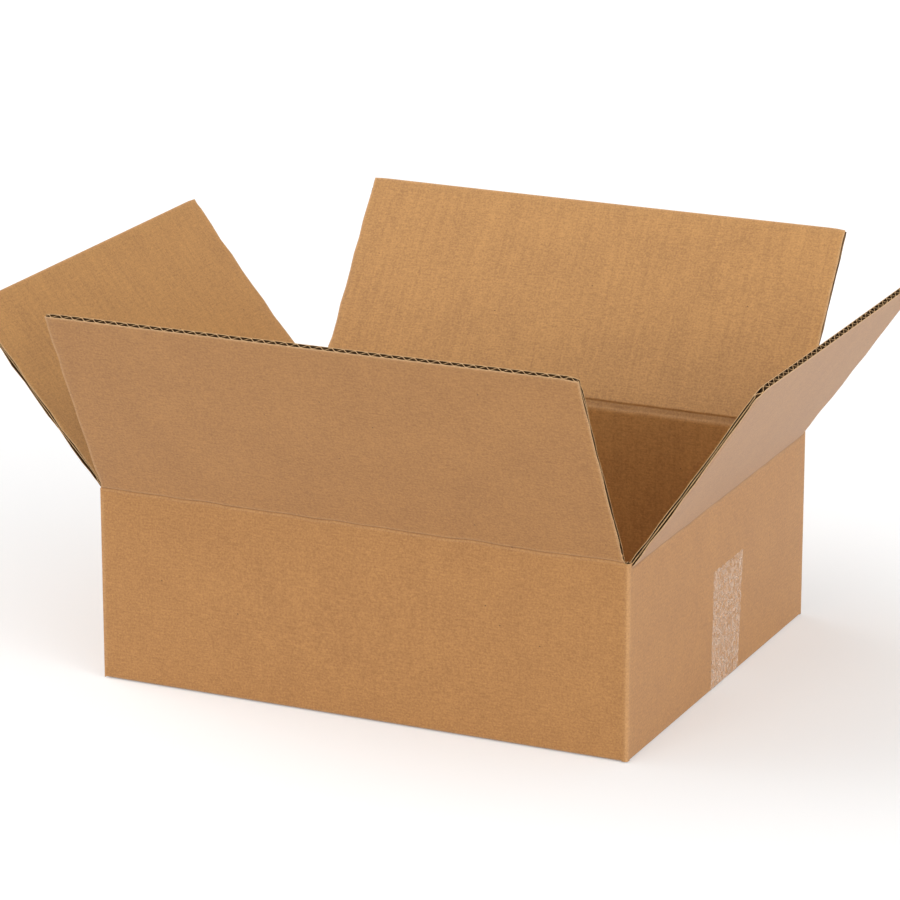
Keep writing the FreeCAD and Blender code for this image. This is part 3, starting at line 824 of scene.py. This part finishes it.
def fluting_medium_painted_shade():
    """Fluting medium, a coarse recycled paper set into waves, duller than the facings. It is
    coloured far darker than such paper: painted shade of the dark channels inside the flutes, and
    it covers the facings' faces inside them too."""
    material, tree, end = blank("fluting_medium_painted_shade")
    where = node(tree, "ShaderNodeTexCoord").outputs["Object"]
    grain = node(tree, "ShaderNodeTexNoise", {"Vector": where},
                 inputs={"Scale": 1 / (MEDIUM_GRAIN_MM * MM), "Detail": 2.0}).outputs[0]
    colour = blend_colour(tree, grain, "#3C2813", "#644623")
    shader = node(tree, "ShaderNodeBsdfPrincipled", {"Base Color": colour},
                  inputs={"Roughness": 0.85, "IOR": 1.45})
    tree.links.new(shader.outputs[0], end.inputs[0])
    return material


def cut_board_edge():
    """The knife-cut edge of kraft paper: paler than its face, because the fibres stand open."""
    material, tree, end = blank("cut_board_edge")
    where = node(tree, "ShaderNodeTexCoord").outputs["Object"]
    grain = node(tree, "ShaderNodeTexNoise", {"Vector": where},
                 inputs={"Scale": 1 / (EDGE_GRAIN_MM * MM), "Detail": 3.0, "Roughness": 0.7}).outputs[0]
    colour = blend_colour(tree, grain, "#A67C4C", "#E2BC8C")
    shader = node(tree, "ShaderNodeBsdfPrincipled", {"Base Color": colour},
                  inputs={"Roughness": 0.8, "IOR": 1.45})
    tree.links.new(shader.outputs[0], end.inputs[0])
    return material


def tape_film():
    """Clear polypropylene packing tape on kraft board: a thin film that greys what is under it,
    with a milky speckle where air is left between the film and the paper's fibres."""
    material, tree, end = blank("clear_packing_tape")
    where = node(tree, "ShaderNodeTexCoord")
    fine = node(tree, "ShaderNodeTexNoise", {"Vector": where.outputs["Object"]},
                inputs={"Scale": 1 / (BUBBLE_MM * MM), "Detail": 3.0, "Roughness": 0.8}).outputs[0]
    broad = node(tree, "ShaderNodeTexNoise", {"Vector": where.outputs["Object"]},
                 inputs={"Scale": 1 / (BUBBLE_CLOUD_MM * MM), "Detail": 1.0}).outputs[0]
    milk = sum_of(tree, [(fine, 3.0), (broad, 0.3)], -1.2)
    cover = node(tree, "ShaderNodeMapRange", {"Value": milk},
                 inputs={"From Min": 0.1, "From Max": 0.9, "To Min": 0.0, "To Max": 0.34}).outputs[0]
    shader = node(tree, "ShaderNodeBsdfPrincipled", {"Alpha": cover},
                  inputs={"Base Color": linear("#F0DCC8"), "Roughness": 0.75, "IOR": 1.49})
    tree.links.new(shader.outputs[0], end.inputs[0])
    return material


FLOOR_LIGHTER = 0.25     # how much brighter than it is lit the camera sees the floor


def studio_floor_paper():
    """Matte white studio paper. To the camera it is a little brighter than it is lit, so that it
    meets the white background, and it still takes the box's shadow."""
    material, tree, end = blank("studio_floor_paper")
    extra = node(tree, "ShaderNodeMath", {0: seen_directly(tree)}, operation="MULTIPLY",
                 inputs={1: FLOOR_LIGHTER})
    paper = node(tree, "ShaderNodeBsdfDiffuse", inputs={"Color": linear("#DEDEDE")})
    glow = node(tree, "ShaderNodeEmission", {"Strength": extra.outputs[0]},
                inputs={"Color": (1, 1, 1, 1)})
    both = node(tree, "ShaderNodeAddShader", {0: paper.outputs[0], 1: glow.outputs[0]})
    tree.links.new(both.outputs[0], end.inputs[0])
    return material


# Stage, lights and camera

CAMERA_YAW = 24.76       # degrees round the box from its front
CAMERA_PITCH = 17.2      # degrees down
CAMERA_DISTANCE = 2469.2 # from the aim point, which is over the middle of the box
CAMERA_SIDE = -5.74      # of the camera from the line to the aim point
CAMERA_LIFT = 51.8
AIM_HEIGHT = 60.0
LENS = 177.38
FLOOR_HALF = 9.0         # metres


def add_camera():
    """A long lens from the front and a little to the right, looking slightly down."""
    yaw, pitch = math.radians(CAMERA_YAW), math.radians(CAMERA_PITCH)
    right = np.array([math.cos(yaw), math.sin(yaw), 0.0])
    level = np.array([-math.sin(yaw), math.cos(yaw), 0.0])
    ahead = math.cos(pitch) * level + math.sin(pitch) * np.array([0.0, 0.0, -1.0])
    above = np.cross(right, ahead)
    spot = (np.array([0.0, 0.0, AIM_HEIGHT]) + CAMERA_SIDE * right + CAMERA_LIFT * above
            - CAMERA_DISTANCE * ahead) * MM
    data = bpy.data.cameras.new("camera")
    data.lens, data.sensor_width = LENS, 36.0
    data.clip_start, data.clip_end = 0.05, 100.0
    camera = bpy.data.objects.new("camera", data)
    camera.location = spot
    camera.rotation_euler = (math.pi / 2 - pitch, 0.0, yaw)
    bpy.context.scene.collection.objects.link(camera)
    bpy.context.scene.camera = camera


def add_stage():
    """The studio's floor, a square of white paper."""
    mesh = bpy.data.meshes.new("studio_floor")
    corners = [(-1, -1), (1, -1), (1, 1), (-1, 1)]
    mesh.from_pydata([(FLOOR_HALF * x, FLOOR_HALF * y, -0.0003) for x, y in corners], [], [(0, 1, 2, 3)])
    mesh.materials.append(studio_floor_paper())
    floor = bpy.data.objects.new("studio_floor", mesh)
    bpy.context.scene.collection.objects.link(floor)


# Soft lights of the studio, as broad glows on the surrounding white: azimuth from the front to
# the right and elevation in degrees, strength at its middle, and how narrow it is
GLOWS = [
    (0.0, 90.0, 0.75, 3.0),
    (-95.0, 12.0, 2.35, 10.0),
    (-95.0, 40.0, 2.4, 10.0),
    (-40.0, 60.0, 1.1, 20.0),
    (-15.0, 18.0, 6.4, 40.0),
    (50.0, 12.0, 2.9, 10.0),
    (75.0, 15.0, 6.3, 30.0),
    (95.0, 40.0, 0.9, 10.0),
    (155.0, 8.0, 1.0, 12.0),
]


def seen_directly(tree):
    """One for a ray from the camera, else zero."""
    return node(tree, "ShaderNodeLightPath").outputs["Is Camera Ray"]


def add_lights():
    """The studio's world: each glow is the cosine of the angle to its middle raised to a power.
    The camera sees plain white."""
    world = bpy.data.worlds.new("studio_white")
    bpy.context.scene.world = world
    world.use_nodes = True
    tree = world.node_tree
    tree.nodes.clear()
    direction = node(tree, "ShaderNodeTexCoord").outputs["Generated"]
    parts = []
    for azimuth, elevation, strength, narrow in GLOWS:
        a, e = math.radians(azimuth), math.radians(elevation)
        middle = (math.sin(a) * math.cos(e), -math.cos(a) * math.cos(e), math.sin(e))
        cosine = node(tree, "ShaderNodeVectorMath", {0: direction}, operation="DOT_PRODUCT",
                      inputs={1: middle})
        front = node(tree, "ShaderNodeMath", {0: cosine.outputs["Value"]}, operation="MAXIMUM",
                     inputs={1: 0.0})
        glow = node(tree, "ShaderNodeMath", {0: front.outputs[0]}, operation="POWER",
                    inputs={1: narrow})
        parts.append((glow.outputs[0], strength))
    light = sum_of(tree, parts, 0.0)
    level = node(tree, "ShaderNodeMapRange", {"Value": seen_directly(tree), "To Min": light},
                 inputs={"To Max": 1.0})
    shader = node(tree, "ShaderNodeBackground", {"Strength": level.outputs[0]},
                  inputs={"Color": (1, 1, 1, 1)})
    node(tree, "ShaderNodeOutputWorld", {"Surface": shader.outputs[0]})


# The scene

bpy.context.scene.view_settings.view_transform = "Standard"
add_camera()
add_stage()
add_lights()

outer_liner = kraft_liner("kraft_liner_outer", "#986734", "#B78347", 0.25, 0.22)
inner_liner = kraft_liner("kraft_liner_inner", "#9A6D3B", "#BE8C4E", 0.8, 0.08)
board_materials = [outer_liner, inner_liner, fluting_medium_painted_shade(), cut_board_edge()]

REACH = 2.6              # how far to each side of its crease the two crease points of a flap lie


def crease_point(side, distance):
    """A point beside the crease, along the sheet's mean direction there, in metres."""
    half = math.radians(side["lean"]) / 2
    point = place(side, 0.0, side["face"] - PIVOT_DEPTH + distance * math.sin(half),
                  side["crease"] + distance * math.cos(half))
    return tuple(float(x) * MM for x in point)


for name, side in SIDES.items():
    flap = flap_board(name, board_materials)
    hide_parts(name + "_flap")
    crease_point(side, -REACH)
    crease_point(side, REACH)
    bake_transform(flap)

shell = walls(board_materials)
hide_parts("box_shell")
for piece in [shell, glue_tab(board_materials)] + [bottom_board(name, board_materials) for name in SIDES]:
    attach(piece, "box")

strip = packing_tape([tape_film()])
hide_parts("bottom_tape")
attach(strip, "box")
